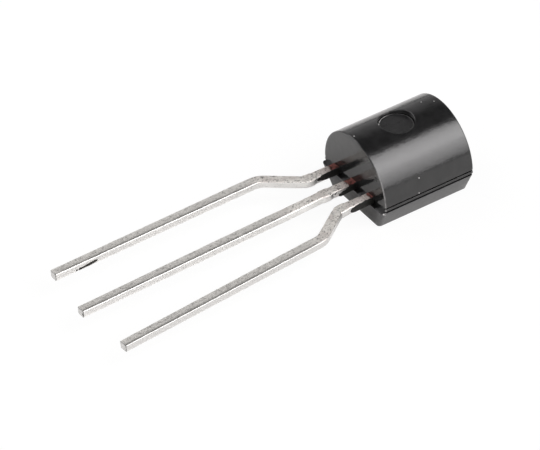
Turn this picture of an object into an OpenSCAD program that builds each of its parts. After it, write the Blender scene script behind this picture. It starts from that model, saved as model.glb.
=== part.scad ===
// Three-lead transistor in a moulded half-round package of the TO-92 outline.
// X runs from the lead tips to the closed end of the body, Z rises from the
// flat side to the crown of the rounded side. The origin is the middle of the
// flat side. The flat half and the rounded half meet at the parting plane, and
// the stamped leadframe lies on that plane.

/* [Moulded body] */
// Width across the rounded half
body_w = 4.61; // [4.4:0.01:4.8]
// Length of the rounded half
body_l = 4.56; // [4.3:0.01:5.2]
// Height of the flat half, from the flat side to the parting plane
front_h = 1.02; // [0.9:0.01:1.2]
// Width of the flat side
flat_w = 3.64; // [3.2:0.01:3.9]
// Inset of the flat half's flanks behind the rounded half's, at the parting plane
front_step = 0.04; // [0.02:0.01:0.08]
// How far the flat half sticks out past the rounded half at the lead end
ledge = 0.18; // [0.1:0.01:0.3]
// How far that end of the flat half leans in at the flat side
ledge_rake = 0.13; // [0.05:0.01:0.2]
// Inset of the flat half's closed end behind the rounded half's, at the parting plane
end_step = 0.02; // [0.02:0.01:0.15]
// How far the flat half's closed end leans in at the flat side
end_rake = 0.05; // [0.02:0.01:0.2]
// Radius of the flat half's four slanted corners
corner_r = 0.08; // [0.06:0.01:0.2]
// Radius round both end faces of the rounded half
rim_r = 0.05; // [0.03:0.01:0.15]

/* [Parting strip] */
// Height of the strip between the two parting grooves
strip_h = 0.14; // [0.1:0.01:0.25]
// Height of each parting groove
groove_h = 0.06; // [0.03:0.01:0.08]
// Depth of each parting groove
groove_d = 0.06; // [0.03:0.01:0.08]
// Straight wall above the upper groove, below the round
shoulder_h = 0.02; // [0.02:0.01:0.2]

/* [Ejector mark] */
// Diameter of the round ejector mark on the crown
mark_d = 1.6; // [1:0.1:2.2]
// Depth of the mark's flat floor below the crown
mark_depth = 0.2; // [0.15:0.01:0.35]

/* [Leadframe] */
// Thickness of the stamped strip
frame_t = 0.33; // [0.25:0.01:0.45]
// Distance between neighbouring leads at the body
pitch = 1.27; // [1.2:0.01:1.35]
// Sideways offset of the middle lead from the body's centre plane
frame_shift = 0.06; // [-0.1:0.01:0.1]
// Width of each lead where it leaves the body
root_w = 0.43; // [0.4:0.01:0.55]
// Width of each lead past its crank
lead_w = 0.42; // [0.35:0.01:0.5]
// Width of each lead at its tip
tip_w = 0.36; // [0.3:0.01:0.45]
// Distance from the body to the trimmed stubs of the tie bar
stub_gap = 1.32; // [1.1:0.01:1.4]
// Length of the trimmed stubs along the lead
stub_l = 0.35; // [0.2:0.05:0.6]
// How far the trimmed stubs stand out on each side
stub_out = 0.04; // [0.02:0.01:0.06]

/* [Forming of the leads] */
// Distance from the body to the first bend of each crank
crank_from = 1.67; // [1.6:0.01:2]
// Distance from the body to the second bend of each crank
crank_to = 3.27; // [3:0.01:3.6]
// Centreline radius of the bends
bend_r = 0.8; // [0.4:0.05:1]
// Sideways distance of lead 1 from the middle lead, past its crank
spread_1 = 2.49; // [2.2:0.01:2.7]
// Sideways distance of lead 3 from the middle lead, past its crank
spread_3 = 2.39; // [2.2:0.01:2.7]
// Lean of lead 1 past its crank, in degrees towards lead 3's side
lean_1 = 1; // [-3:0.1:3]
// Lean of lead 2 past its crank, in degrees towards lead 3's side
lean_2 = 1.9; // [-3:0.1:3]
// Lean of lead 3 past its crank, in degrees away from lead 2
lean_3 = 4.6; // [0:0.1:6]
// Length of lead 1 from the body to its tip
reach_1 = 13.57; // [12.5:0.01:15]
// Length of lead 2 from the body to its tip
reach_2 = 13.82; // [12.5:0.01:15]
// Length of lead 3 from the body to its tip
reach_3 = 13.53; // [12.5:0.01:15]

/* [Die pad and bond posts] */
// Distance from the lead-end face to the die pad
pad_set = 0.75; // [0.6:0.05:0.9]
// Length of the die pad
pad_l = 1.9; // [1.6:0.05:2.2]
// Width of the die pad
pad_w = 1.5; // [1.3:0.05:1.6]
// Distance from the lead-end face to the bond posts
post_set = 0.55; // [0.5:0.05:0.7]
// Length of each bond post
post_l = 0.9; // [0.8:0.05:1.1]
// Width of each bond post, out from its lead's inner edge
post_w = 0.8; // [0.7:0.05:0.85]

/* [Die] */
// Side of the square silicon die
die_side = 0.5; // [0.4:0.05:0.6]
// Thickness of the die
die_t = 0.2; // [0.15:0.01:0.28]
// Thickness of the die-attach layer
attach_t = 0.03; // [0.02:0.01:0.05]
// How far the die-attach layer shows round the die
attach_rim = 0.06; // [0.03:0.01:0.1]

/* [Bond wires] */
// Diameter of the bond wires
wire_d = 0.05; // [0.03:0.01:0.06]
// Distance between the two bond points on the die
bond_gap = 0.24; // [0.2:0.01:0.28]
// Diameter of the ball on the die
ball_d = 0.1; // [0.08:0.01:0.12]
// Height of the ball on the die
ball_h = 0.04; // [0.03:0.01:0.06]
// Straight rise of a wire above the die
rise_h = 0.1; // [0.08:0.01:0.15]
// Radius of a wire's bends
loop_r = 0.12; // [0.1:0.01:0.15]
// Length of the pressed stitch on the post
stitch_l = 0.16; // [0.12:0.01:0.2]
// Width of the pressed stitch
stitch_w = 0.1; // [0.08:0.01:0.12]
// Height of the pressed stitch
stitch_h = 0.08; // [0.07:0.01:0.1]

/* [Hidden] */
$fn = 64;
BEND_STEPS = 8;
STRAIGHT = 0.01;     // a bend of fewer degrees than this is no bend
PAST = 1;            // how far a cutter runs past the surface it opens
KEEN = 1.005;        // corner cutters reach this much past tangency, for clean edges
JOINT = 1.05;        // beads between lengths of wire are this much thicker than it

body_r = body_w / 2;
x_lead_end = -body_l / 2;
x_closed_end = body_l / 2;
upper_groove_z = front_h + groove_h + strip_h;
round_z = upper_groove_z + groove_h + shoulder_h;
crown_z = round_z + body_r;
front_w = body_w - 2 * front_step;
ledge_x = x_lead_end - ledge;
ledge_foot_x = ledge_x + ledge_rake;
front_end_x = x_closed_end - end_step;
front_foot_x = front_end_x - end_rake;

spreads = [spread_1, 0, -spread_3];
leans = [lean_1, lean_2, lean_3];
reaches = [reach_1, reach_2, reach_3];
frame_top = front_h + frame_t;
pad_mid = x_lead_end + pad_set + pad_l / 2;
post_mid = x_lead_end + post_set + post_l / 2;
die_z = frame_top + attach_t;
die_top = die_z + die_t;
spool = "#4b4b4d";
tin = "#b5b2ab";

// Side of the middle plane on which a lead lies: 1, 0 or -1.
function lead_side(i) = 1 - i;
// Centre of lead i where it leaves the body.
function root_y(i) = frame_shift + lead_side(i) * pitch;
// Centre of lead i just past its crank.
function spread_y(i) = frame_shift + spreads[i];

function unit(v) = v / norm(v);
function left_of(v) = [-v.y, v.x];
function angle_of(v) = atan2(v.y, v.x);
function turn(a, b) = atan2(a.x * b.y - a.y * b.x, a * b);

// Edge points of a strip at one corner of its centreline, on one side.
function corner_edge(before, at, after, half_w, radius, side) =
    let (way_in = unit(at - before),
         way_out = unit(after - at),
         angle = turn(way_in, way_out))
    abs(angle) < STRAIGHT
    ? [at + side * half_w * left_of(way_in)]
    : let (hand = sign(angle),
           tangent = radius * tan(abs(angle) / 2),
           centre = at - tangent * way_in + hand * radius * left_of(way_in),
           start = angle_of(-hand * left_of(way_in)),
           edge_r = radius - hand * side * half_w)
      [for (k = [0 : BEND_STEPS])
          let (a = start + angle * k / BEND_STEPS)
          centre + edge_r * [cos(a), sin(a)]];

// All edge points of a strip along one side, in the centreline's order.
function strip_edge(path, half_ws, radius, side) =
    let (last = len(path) - 1,
         way_in = unit(path[1] - path[0]),
         way_out = unit(path[last] - path[last - 1]))
    concat(
        [path[0] + side * half_ws[0] * left_of(way_in)],
        [for (i = [1 : last - 1])
            each corner_edge(path[i - 1], path[i], path[i + 1], half_ws[i], radius, side)],
        [path[last] + side * half_ws[last] * left_of(way_out)]);

// Outline of a strip whose width changes from corner to corner.
function strip(path, half_ws, radius) =
    let (right_side = strip_edge(path, half_ws, radius, -1))
    concat(strip_edge(path, half_ws, radius, 1),
           [for (i = [len(right_side) - 1 : -1 : 0]) right_side[i]]);

// Centreline of lead i, from x_in inside the body to its tip.
function lead_path(i, x_in) =
    let (past_crank = reaches[i] - crank_to)
    [[x_in, root_y(i)],
     [x_lead_end - crank_from, root_y(i)],
     [x_lead_end - crank_to, spread_y(i)],
     [x_lead_end - reaches[i], spread_y(i) - past_crank * tan(leans[i])]];

// Rounded half: a half-round log with rounded end rims on a straight wall.
module rounded_half() {
    translate([0, 0, round_z])
        rotate([0, 90, 0])
        rotate([0, 0, 90])
        rotate_extrude(angle = 180)
        intersection() {
            rim_outline(body_w);
            translate([0, -body_l / 2]) square([body_r, body_l]);
        }
    translate([0, 0, front_h])
        linear_extrude(round_z - front_h)
        rotate(90)
        rim_outline(body_w);
}

// Plan of the rounded half with its rims: width along X, length along Y.
module rim_outline(width) {
    square([width - 2 * rim_r, body_l], center = true);
    square([width, body_l - 2 * rim_r], center = true);
    for (side = [-1, 1], end = [-1, 1])
        translate([side * (width / 2 - rim_r), end * (body_l / 2 - rim_r)])
            circle(rim_r);
}

// Flat half: a wedge-sided block with leaning ends and rounded slanted corners.
module flat_half() {
    difference() {
        intersection() {
            rotate([90, 0, 0])
                linear_extrude(body_w, center = true)
                polygon([[ledge_x, front_h], [ledge_foot_x, 0],
                         [front_foot_x, 0], [front_end_x, front_h]]);
            rotate([90, 0, 90])
                linear_extrude(body_l + 2 * PAST, center = true)
                polygon([[-front_w / 2, front_h], [-flat_w / 2, 0],
                         [flat_w / 2, 0], [front_w / 2, front_h]]);
        }
        for (side = [-1, 1]) {
            slanted_corner([ledge_foot_x, side * flat_w / 2, 0],
                           [ledge_x, side * front_w / 2, front_h],
                           [-front_h, 0, -ledge_rake]);
            slanted_corner([front_foot_x, side * flat_w / 2, 0],
                           [front_end_x, side * front_w / 2, front_h],
                           [front_h, 0, -end_rake]);
        }
    }
}

// Cutter that rounds the edge from foot to top, where the flank of the flat
// half meets an end face that looks along end_way.
module slanted_corner(foot, top, end_way) {
    flank_way = [0, sign(foot.y) * front_h, -(front_w - flat_w) / 2];
    flank = unit(flank_way);
    end = unit(end_way);
    along = unit(top - foot);
    middle = unit(flank + end);
    across = cross(along, middle);
    centre = foot - corner_r * (flank + end) / (1 + flank * end);
    multmatrix([[middle.x, across.x, along.x, centre.x],
                [middle.y, across.y, along.y, centre.y],
                [middle.z, across.z, along.z, centre.z],
                [0, 0, 0, 1]])
        linear_extrude(4 * front_h, center = true)
        difference() {
            polygon([[0, 0], [4 * corner_r, -4 * corner_r], [4 * corner_r, 4 * corner_r]]);
            circle(corner_r * KEEN);
        }
}

// Groove round both flanks and the closed end, open at the lead end.
module parting_groove(z) {
    translate([0, 0, z])
        linear_extrude(groove_h)
        difference() {
            square([body_l + 2 * PAST, body_w + 2 * PAST], center = true);
            translate([-PAST - groove_d, 0])
                square([body_l + 2 * PAST, body_w - 2 * groove_d], center = true);
        }
}

// Round ejector mark sunk into the crown.
module ejector_mark() {
    translate([0, 0, crown_z - mark_depth])
        cylinder(h = mark_depth + PAST, d = mark_d);
}

// Flat blank of the leadframe, centred at a point of the parting plane.
module blank(x, y, length, width) {
    translate([x, y, front_h + frame_t / 2])
        cube([length, width, frame_t], center = true);
}

// Stamped lead i, drawn from x_in inside the body, with its tie-bar stubs.
module stamped_lead(i, x_in) {
    half_widths = [root_w, root_w, lead_w, tip_w] / 2;
    translate([0, 0, front_h])
        linear_extrude(frame_t)
        polygon(strip(lead_path(i, x_in), half_widths, bend_r));
    blank(x_lead_end - stub_gap - stub_l / 2, root_y(i), stub_l, root_w + 2 * stub_out);
}

// Outer lead i with its bond post, which widens away from the die pad.
module outer_lead(i) {
    inner_edge = root_y(i) - lead_side(i) * root_w / 2;
    color(tin)
        union() {
            stamped_lead(i, post_mid);
            blank(post_mid, inner_edge + lead_side(i) * post_w / 2, post_l, post_w);
        }
}

// A bond wire from the die to the post of lead i. It is drawn in a frame of
// its own: the bond point on the die is the origin and X points to the post.
module bond_wire(i) {
    from = [pad_mid, root_y(1) + lead_side(i) * bond_gap / 2];
    to = [post_mid, root_y(i) + lead_side(i) * (post_w - root_w) / 2];
    span = norm(to - from) - stitch_l / 2;
    stitch_axis = stitch_h - wire_d / 2 - (stitch_h - wire_d) / 4;
    foot_z = frame_top + stitch_axis - die_top;
    drop = rise_h + ball_h + loop_r - foot_z;
    run = span - loop_r;
    chord = norm([run, 2 * loop_r - drop]);
    slope = asin(2 * loop_r / chord) - atan2(2 * loop_r - drop, run);
    slant = sqrt(run * run + drop * drop - 4 * loop_r * drop);
    color("gold")
        translate([from.x, from.y, die_top])
        rotate(angle_of(to - from)) {
            cylinder(h = ball_h, d = ball_d);
            cylinder(h = ball_h + rise_h, d = wire_d);
            translate([0, 0, ball_h + rise_h]) wire_joint();
            translate([loop_r, 0, ball_h + rise_h])
                wire_bend(90 - slope, 90 + slope);
            translate([loop_r, 0, ball_h + rise_h])
                rotate([0, slope, 0])
                translate([0, 0, loop_r])
                rotate([0, 90, 0]) {
                    wire_joint();
                    cylinder(h = slant, d = wire_d);
                    translate([0, 0, slant]) wire_joint();
                }
            translate([span, 0, foot_z + loop_r])
                wire_bend(-90 - slope, slope);
            translate([span, 0, foot_z]) wire_joint();
            translate([span, -stitch_w / 2, frame_top - die_top])
                cube([stitch_l, stitch_w, stitch_h]);
        }
}

// Bead that joins two lengths of wire, a little thicker than they are.
module wire_joint() {
    sphere(d = wire_d * JOINT);
}

// Arc of wire in the plane of X and Z, centred on the origin.
module wire_bend(from_angle, sweep) {
    rotate([90, 0, 0])
        rotate(from_angle)
        rotate_extrude(angle = sweep)
        translate([loop_r, 0])
        circle(d = wire_d);
}

module lead_1() {
    outer_lead(0);
}

// The middle lead carries the die pad.
module lead_2() {
    color(tin)
        union() {
            stamped_lead(1, pad_mid);
            blank(pad_mid, root_y(1), pad_l, pad_w);
        }
}

module lead_3() {
    outer_lead(2);
}

module silicon_die() {
    color("dimgray")
        translate([pad_mid, root_y(1), die_z + die_t / 2])
        cube([die_side, die_side, die_t], center = true);
}

module die_attach() {
    attach_side = die_side + 2 * attach_rim;
    color("silver")
        translate([pad_mid, root_y(1), frame_top + attach_t / 2])
        cube([attach_side, attach_side, attach_t], center = true);
}

module bond_wire_1() {
    bond_wire(0);
}

module bond_wire_3() {
    bond_wire(2);
}

// The epoxy fills every space round the pieces that it holds.
module epoxy_body() {
    color(spool)
        difference() {
            union() {
                rounded_half();
                flat_half();
            }
            parting_groove(front_h);
            parting_groove(upper_groove_z);
            ejector_mark();
            lead_1();
            lead_2();
            lead_3();
            die_attach();
            silicon_die();
            bond_wire_1();
            bond_wire_3();
        }
}

epoxy_body();
lead_1();
lead_2();
lead_3();
silicon_die();
die_attach();
bond_wire_1();
bond_wire_3();
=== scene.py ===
from math import atan2, ceil, copysign, cos, pi, radians, sin, sqrt, tan

import bpy
from bpy.props import FloatProperty, FloatVectorProperty, PointerProperty
from mathutils import Matrix, Vector, noise


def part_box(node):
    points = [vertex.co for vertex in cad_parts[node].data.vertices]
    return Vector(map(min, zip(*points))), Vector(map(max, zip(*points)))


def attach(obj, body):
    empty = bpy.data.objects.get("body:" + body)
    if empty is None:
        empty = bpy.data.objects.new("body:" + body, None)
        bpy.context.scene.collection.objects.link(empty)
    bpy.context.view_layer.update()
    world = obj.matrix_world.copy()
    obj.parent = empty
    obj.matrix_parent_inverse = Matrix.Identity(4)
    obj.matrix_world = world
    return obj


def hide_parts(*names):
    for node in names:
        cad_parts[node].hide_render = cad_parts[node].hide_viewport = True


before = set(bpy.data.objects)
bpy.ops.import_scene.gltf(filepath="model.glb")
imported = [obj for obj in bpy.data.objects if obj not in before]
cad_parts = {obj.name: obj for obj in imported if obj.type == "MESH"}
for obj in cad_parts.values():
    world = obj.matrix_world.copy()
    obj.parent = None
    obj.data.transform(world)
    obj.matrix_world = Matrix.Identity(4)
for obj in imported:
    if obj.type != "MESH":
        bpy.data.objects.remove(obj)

bl_info = {
    "name": "Three-lead transistor",
    "version": (1, 0, 0),
    "blender": (4, 5, 0),
    "location": "View3D > Sidebar > Transistor",
    "description": "Moulded half-round transistor with three formed leads, and its studio",
    "category": "Add Mesh",
}

MM = 0.001
BODY_LO, BODY_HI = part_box("epoxy_body")
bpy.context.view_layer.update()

# Point counts of the body's skin.
ROUND_STEPS = 96         # round the crown, and across both end faces
RIM_STEPS = 5            # round every rounded rim and plan corner
MARK_HALF_STEPS = 15     # rows from the crown line to the edge of the mark's patch
PLAIN_STEPS = 14         # along the crown, from the patch to either rim
CAP_ROWS = 8             # up each half-round end face
PATCH_RINGS = 7          # from the patch's square edge to the mark's round edge
EDGE_STEPS = 3           # round every small edge
CREASE = radians(40)     # faces that meet at more than this keep a sharp edge
WELD = 2e-8              # points closer than this are one point
MOST_ROUNDED = 0.45      # largest share of the way to the next row that a round takes
# Inner ends of the leads: distance from the end face, length and width. A post's width
# starts at its lead's inner edge.
POST = (0.55 * MM, 0.9 * MM, 0.8 * MM)
PAD = (0.75 * MM, 1.9 * MM, 1.5 * MM)
# Point counts and steps of a lead.
CORNER_STEPS = 7         # round each corner of its section
SIDE_STEPS = 4           # along each side of its section
BEND_STEPS = 12          # round each bend
LEAD_STEP = 0.1 * MM     # between two sections on a straight
STUB_SOFT = 0.09 * MM    # length over which a trimmed stub rises from the lead
SWAY = 0.006 * MM        # unevenness of the dipped tin
# Distances from the body over which the coat of tin starts, and over which the soft edges
# of the thick tin by the body start and end.
COAT_START = (0.35 * MM, 0.55 * MM)
SOFT_START = (0.2 * MM, 0.6 * MM)
SOFT_END = (3.2 * MM, 4.6 * MM)
BARE_COAT = 0.2          # share of the coat that the bare root lacks under its surface


def number(name, description, default, **kind):
    """A number, which can't be negative unless its kind says so."""
    return FloatProperty(name=name, description=description, default=default,
                         **{"min": 0.0, **kind})


def numbers(name, description, default, **kind):
    """Three numbers: one for each lead, or the parts of a place or a colour."""
    return FloatVectorProperty(name=name, description=description, default=default, size=3,
                               **kind)


def size_mm(name, description, default):
    """A length, given in millimetres and held in metres."""
    return number(name, description, default * MM, unit="LENGTH", subtype="DISTANCE",
                  precision=5)


def sizes_mm(name, description, default):
    """Three lengths, given in millimetres and held in metres."""
    return numbers(name, description, [part * MM for part in default], unit="LENGTH",
                   precision=5)


def colour_of(name, description, default):
    """A linear colour."""
    return numbers(name, description, default, min=0.0, max=1.0, subtype="COLOR")


def share_of(name, description, default):
    """A plain number from nought to one."""
    return number(name, description, default, max=1.0, subtype="FACTOR", precision=3)


def angle_of(name, description, degrees):
    """An angle, given in degrees and held in radians."""
    return number(name, description, radians(degrees), min=-pi, unit="ROTATION",
                  subtype="ANGLE")


class BodySizes(bpy.types.PropertyGroup):
    """Sizes of the moulded body."""

    length: size_mm("Length", "Length of the rounded half", 2 * BODY_HI.x / MM)
    width: size_mm("Width", "Width across the rounded half", (BODY_HI.y - BODY_LO.y) / MM)
    crown: size_mm("Top height", "Height of the crown above the flat side", BODY_HI.z / MM)
    parting: size_mm("Flat half height", "Height of the parting plane above the flat side", 1.02)
    flat: size_mm("Flat side width", "Width of the flat side", 3.64)
    ledge: size_mm("Ledge", "How far the flat half sticks out at the lead end", 0.18)
    ledge_rake: size_mm("Ledge rake", "How far that end leans in at the flat side", 0.13)
    end_step: size_mm("End step", "Inset of the closed end just below the parting plane", 0.02)
    end_rake: size_mm("End rake", "How far the closed end leans in at the flat side", 0.05)
    corner: size_mm("Corner radius", "Radius of the slanted corners at the closed end", 0.08)
    ledge_corner: size_mm("Ledge corner radius", "Radius of those at the lead end", 0.16)
    rim: size_mm("Rim radius", "Radius round both end faces of the rounded half", 0.05)
    strip: size_mm("Strip height", "Height of the strip between the parting grooves", 0.11)
    groove_height: size_mm("Groove height", "Height of each parting groove", 0.08)
    groove_depth: size_mm("Groove depth", "Depth of each parting groove", 0.09)
    mark: size_mm("Mark diameter", "Diameter of the ejector mark on the crown", 1.6)
    mark_depth: size_mm("Mark depth", "Depth of the mark's floor below the crown", 0.245)
    mark_lip: size_mm("Mark lip", "Width of the rounded lip round the mark", 0.025)
    mark_groove: size_mm("Mark groove", "Width and depth of the groove round its floor", 0.07)
    mark_back: size_mm("Mark setback", "Distance from the middle, towards the leads", 0.075)
    edge: size_mm("Edge radius", "Radius of the moulded body's small edges", 0.02)


class LeadSizes(bpy.types.PropertyGroup):
    """Sizes of the three leads, from lead 1 on the +Y side to lead 3."""

    thickness: size_mm("Thickness", "Thickness of the stamped strip", 0.33)
    pitch: size_mm("Pitch", "Distance between neighbouring leads at the body", 1.27)
    shift: size_mm("Sideways shift", "Offset of the middle lead from the body's centre", 0.06)
    root: size_mm("Root width", "Width where a lead leaves the body", 0.43)
    run: size_mm("Lead width", "Width past the crank", 0.455)
    tip: size_mm("Tip width", "Width at the tip", 0.385)
    stub_gap: size_mm("Stub distance", "Distance from the body to the trimmed stubs", 1.32)
    stub_length: size_mm("Stub length", "Length of the trimmed stubs along the lead", 0.35)
    stub_out: size_mm("Stub reach", "How far the trimmed stubs stand out", 0.04)
    crank_from: size_mm("Crank start", "Distance from the body to the first bend", 1.67)
    crank_to: size_mm("Crank end", "Distance from the body to the second bend", 3.27)
    bend: size_mm("Bend radius", "Centreline radius of the bends", 0.8)
    spreads: sizes_mm("Spreads", "Sideways distance of each lead from the middle, past its crank",
                      (2.51, -0.075, -2.445))
    reaches: sizes_mm("Reaches", "Length of each lead from the body to its tip",
                      (13.6, 13.89, 13.59))
    leans: numbers("Leans", "Lean of each lead past its crank, towards -Y",
                   [radians(degrees) for degrees in (1.4, 2.0, 4.85)], unit="ROTATION")
    edge_width: size_mm("Drawn edge width", "Width of the edges on the upper side", 0.018)
    edge_height: size_mm("Drawn edge height", "Height of the edges on the upper side", 0.014)
    soft_width: size_mm("Soft edge width", "Added width of those in the thick tin", 0.09)
    soft_height: size_mm("Soft edge height", "Added height of those in the thick tin", 0.03)
    dome: size_mm("Lead crown", "Rise of the middle of the upper side over its edges", 0.018)
    lower_edge: size_mm("Lower edge", "Width and half the height of the lower edges", 0.05)
    tip_edge: size_mm("Tip edge radius", "Radius round the cut tip", 0.03)
    solder: size_mm("Tin thickness", "Thickness of the dipped tin past the bare root", 0.02)


class Finishes(bpy.types.PropertyGroup):
    """Colours and finishes of the pieces."""

    epoxy: colour_of("Epoxy", "Colour of the moulded body", (0.0092, 0.0092, 0.0094))
    epoxy_roughness: share_of("Epoxy roughness", "Roughness of the rounded half", 0.135)
    face_roughness: share_of("End face roughness", "Roughness of the end faces", 0.07)
    # Pale colour of scuffs and dust, and also of the body's painted highlights and glints.
    scuff_and_highlight: colour_of("Scuff", "Colour of the scuffed rim and of dust", (0.5, 0.49, 0.485))
    # The flash's dark colour also paints the dark reflection of the body in the leads' sides.
    flash: colour_of("Flash", "Colour of the thin resin flash", (0.007, 0.0068, 0.006))
    tin: colour_of("Tin", "Colour of the leads' cut sides", (0.84, 0.83, 0.815))
    drawn_tin: colour_of("Drawn tin", "Colour of the leads' broad sides", (0.82, 0.805, 0.765))
    flushed_tin: colour_of("Flushed tin", "Colour of the tin by the body", (0.62, 0.585, 0.555))
    copper: colour_of("Copper", "Colour of the bare lead at the body", (0.27, 0.1, 0.085))
    fault: colour_of("Fault", "Colour of scratches and pits in the tin", (0.05, 0.047, 0.042))
    silicon: colour_of("Silicon", "Colour of the die", (0.1, 0.11, 0.14))
    silver: colour_of("Die attach", "Colour of the silver paste", (0.6, 0.6, 0.58))
    gold: colour_of("Gold", "Colour of the bond wires", (0.9, 0.6, 0.2))


class Studio(bpy.types.PropertyGroup):
    """Camera, lights and floor."""

    aim: sizes_mm("Aim", "Point at the middle of the picture", (-6.047, 0.949, 0.099))
    distance: size_mm("Distance", "Distance from the aim to the camera", 153.518)
    azimuth: angle_of("Azimuth", "Turn of the camera round the object", -31.197)
    elevation: angle_of("Elevation", "Height of the camera above the floor", 38.873)
    roll: angle_of("Roll", "Tilt of the picture", -3.206)
    lens: number("Lens", "Focal length in millimetres", 240.045, min=1.0, unit="CAMERA")
    key: number("Key", "Brightness of the key soft box", 6.2)
    rear: number("Rear", "Brightness of the soft box behind the object", 2.8)
    fill: number("Fill", "Brightness of the soft box for the floor", 1.2)
    floor: colour_of("Floor", "Colour of the floor", (0.9, 0.9, 0.89))


def operator_pair(operation):
    """An operator and its reflected form, which each add one Math node."""
    def plain(self, other):
        return self.graph.maths(operation, self, other)

    def reflected(self, other):
        return self.graph.maths(operation, other, self)

    return plain, reflected


class Signal:
    """Output of a shader node that takes part in plain arithmetic."""

    __add__, __radd__ = operator_pair("ADD")
    __sub__, __rsub__ = operator_pair("SUBTRACT")
    __mul__, __rmul__ = operator_pair("MULTIPLY")
    __truediv__, __rtruediv__ = operator_pair("DIVIDE")

    def __init__(self, graph, socket):
        self.graph = graph
        self.socket = socket

    def __abs__(self):
        return self.graph.maths("ABSOLUTE", self)

    def at_most(self, other):
        return self.graph.maths("MINIMUM", self, other)

    def at_least(self, other):
        return self.graph.maths("MAXIMUM", self, other)

    def step(self, low, high):
        """Nought below low, one above high, smooth between; falls if low is the higher."""
        first, last = (0.0, 1.0) if low < high else (1.0, 0.0)
        return self.graph.node("MapRange", {"interpolation_type": "SMOOTHSTEP"}, {
            0: self, 1: min(low, high), 2: max(low, high), 3: first, 4: last})


class Graph:
    """Node tree of one material, or of the world."""

    def __init__(self, tree):
        self.tree = tree
        tree.nodes.clear()

    def node(self, kind, settings=None, inputs=None, output=0):
        """Adds a shader node: its settings first, then the values or links of its sockets."""
        made = self.tree.nodes.new("ShaderNode" + kind)
        for key, value in (settings or {}).items():
            if key == "stops":
                self.set_stops(made.color_ramp, value)
            else:
                setattr(made, key, value)
        for key, value in (inputs or {}).items():
            self.feed(made.inputs[key], value)
        return Signal(self, made.outputs[output]) if made.outputs else made

    def set_stops(self, ramp, stops):
        """Gives a colour ramp its stops, from position to colour."""
        while len(ramp.elements) < len(stops):
            ramp.elements.new(1.0)
        for element, (position, colour) in zip(ramp.elements, stops):
            element.position = position
            element.color = (*colour, 1.0)

    def feed(self, socket, value):
        """Links a signal to a socket, or sets the socket's own value."""
        if isinstance(value, Signal):
            self.tree.links.new(value.socket, socket)
        else:
            socket.default_value = (*value, 1.0) if socket.type == "RGBA" else value

    def maths(self, operation, *operands):
        return self.node("Math", {"operation": operation}, dict(enumerate(operands)))

    def vector(self, operation, *operands, output=0):
        return self.node("VectorMath", {"operation": operation},
                         dict(enumerate(operands)), output)

    def scaled(self, vector, factor):
        """The vector times a number; the factor's socket is the fourth."""
        return self.node("VectorMath", {"operation": "SCALE"}, {0: vector, 3: factor})

    def blend(self, share, first, second):
        """Colour between first and second."""
        return self.node("Mix", {"data_type": "RGBA"},
                         {0: share, 6: first, 7: second}, 2)

    def place(self):
        """Place on the object, in millimetres."""
        return self.scaled(self.node("TexCoord", output="Object"), 1 / MM)

    def axes(self, vector):
        """The three parts of a vector."""
        first = self.node("SeparateXYZ", inputs={0: vector})
        return [Signal(self, socket) for socket in first.socket.node.outputs]

    def facing(self):
        """The three parts of the way that the surface faces, in the object's own axes."""
        return self.axes(self.node("TexCoord", output="Normal"))

    def ramp(self, signal, stops, top):
        """Brightness read off a list of (position, brightness) up to the top position."""
        ramp = self.node("ValToRGB", {"stops": [
            (position / top, (share,) * 3) for position, share in stops]}, {0: signal})
        return ramp + 0.0

    def noise(self, place, scale, detail=2.0, roughness=0.5):
        return self.node("TexNoise", inputs={
            "Vector": place, "Scale": scale, "Detail": detail, "Roughness": roughness})

    def stretched(self, place, scales):
        """The place with each axis scaled, for marks that run one way."""
        return self.vector("MULTIPLY", place, scales)

    def off_line(self, place, point, across):
        """Distance from a line through a point; across has a one for each other axis."""
        beside = self.stretched(self.vector("SUBTRACT", place, point), across)
        return self.vector("LENGTH", beside, output="Value")

    def spots(self, place, specks):
        """One inside each round speck, given as its place and radius, nought outside."""
        total = 0.0
        for x, y, z, radius in specks:
            away = self.vector("DISTANCE", place, (x, y, z), output="Value")
            total = away.step(radius, 0.5 * radius) + total
        return total.at_most(1.0)

    def bump(self, height, distance):
        """Normal bent by a height from nought to one that stands for a distance."""
        return self.node("Bump", inputs={"Distance": distance, "Height": height})

    def surface(self, **inputs):
        """Ends the material in one Principled shader."""
        shader = self.node("BsdfPrincipled", inputs={
            key.replace("_", " "): value for key, value in inputs.items()})
        self.node("OutputMaterial", inputs={"Surface": shader})


def new_material(name):
    """A material with an empty node tree, and the graph that fills it."""
    material = bpy.data.materials.new(name)
    material.use_nodes = True
    return material, Graph(material.node_tree)


def times(colour, share):
    """The colour, darker or lighter."""
    return tuple(share * part for part in colour)


# Specks of dust on the body, and two painted glints at the ledge's near corner and on the
# mark's ring: place and radius, in millimetres.
DUST_AND_GLINTS = [
    (-2.14, 0.13, 3.6, 0.035), (1.54, 0.45, 3.56, 0.03), (1.99, 0.13, 3.6, 0.03),
    (-0.45, -2.18, 2.02, 0.035), (-0.54, -2.3, 1.33, 0.035), (-2.36, -2.27, 1.0, 0.05),
    (0.56, -0.41, 3.42, 0.07),
]
# The painted highlight along the burr round the ejector mark's floor, in millimetres: its
# radius, where its two sides fade, and the depths below the crown between which it shows.
BURR_HIGHLIGHT_RADIUS = 0.757
BURR_HIGHLIGHT_SIDE = (0.032, 0.018)
BURR_HIGHLIGHT_LOWEST = (0.31, 0.26)
BURR_HIGHLIGHT_HIGHEST = (0.1, 0.14)


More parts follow.
